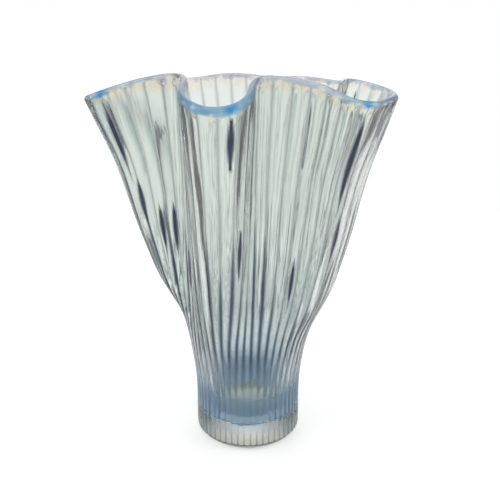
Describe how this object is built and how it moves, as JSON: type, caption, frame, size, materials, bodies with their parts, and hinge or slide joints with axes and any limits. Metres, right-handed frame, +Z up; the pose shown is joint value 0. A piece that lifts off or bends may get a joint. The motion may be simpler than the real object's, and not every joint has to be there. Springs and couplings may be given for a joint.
{
  "type": "fan vase",
  "caption": "Ribbed glass vase with a thick clear round foot, a blue opal well and a wall that flares into a ruffled, lobed mouth with a rounded blue lip.",
  "frame": {"origin": "middle of the flat resting face under the foot", "axes": "+Z up from the foot to the mouth, +X towards the right-hand lobe, -Y towards the front lobe"},
  "size_m": [0.2055, 0.14, 0.2687],
  "materials": {
    "clear_glass": "clear, polished, moulded with fine upright ribs",
    "blue_opal_glass": "blue opalescent, glossy",
    "pale_opal_glass": "pale grey-green opalescent, glossy, ribbed",
    "blue_lip_glass": "blue opalescent, fire polished"
  },
  "bodies": {
    "root": {"clear_foot": "clear_glass", "opal_cup": "blue_opal_glass", "ribbed_wall": "pale_opal_glass", "opal_lip": "blue_lip_glass"}
  },
  "joints": []
}
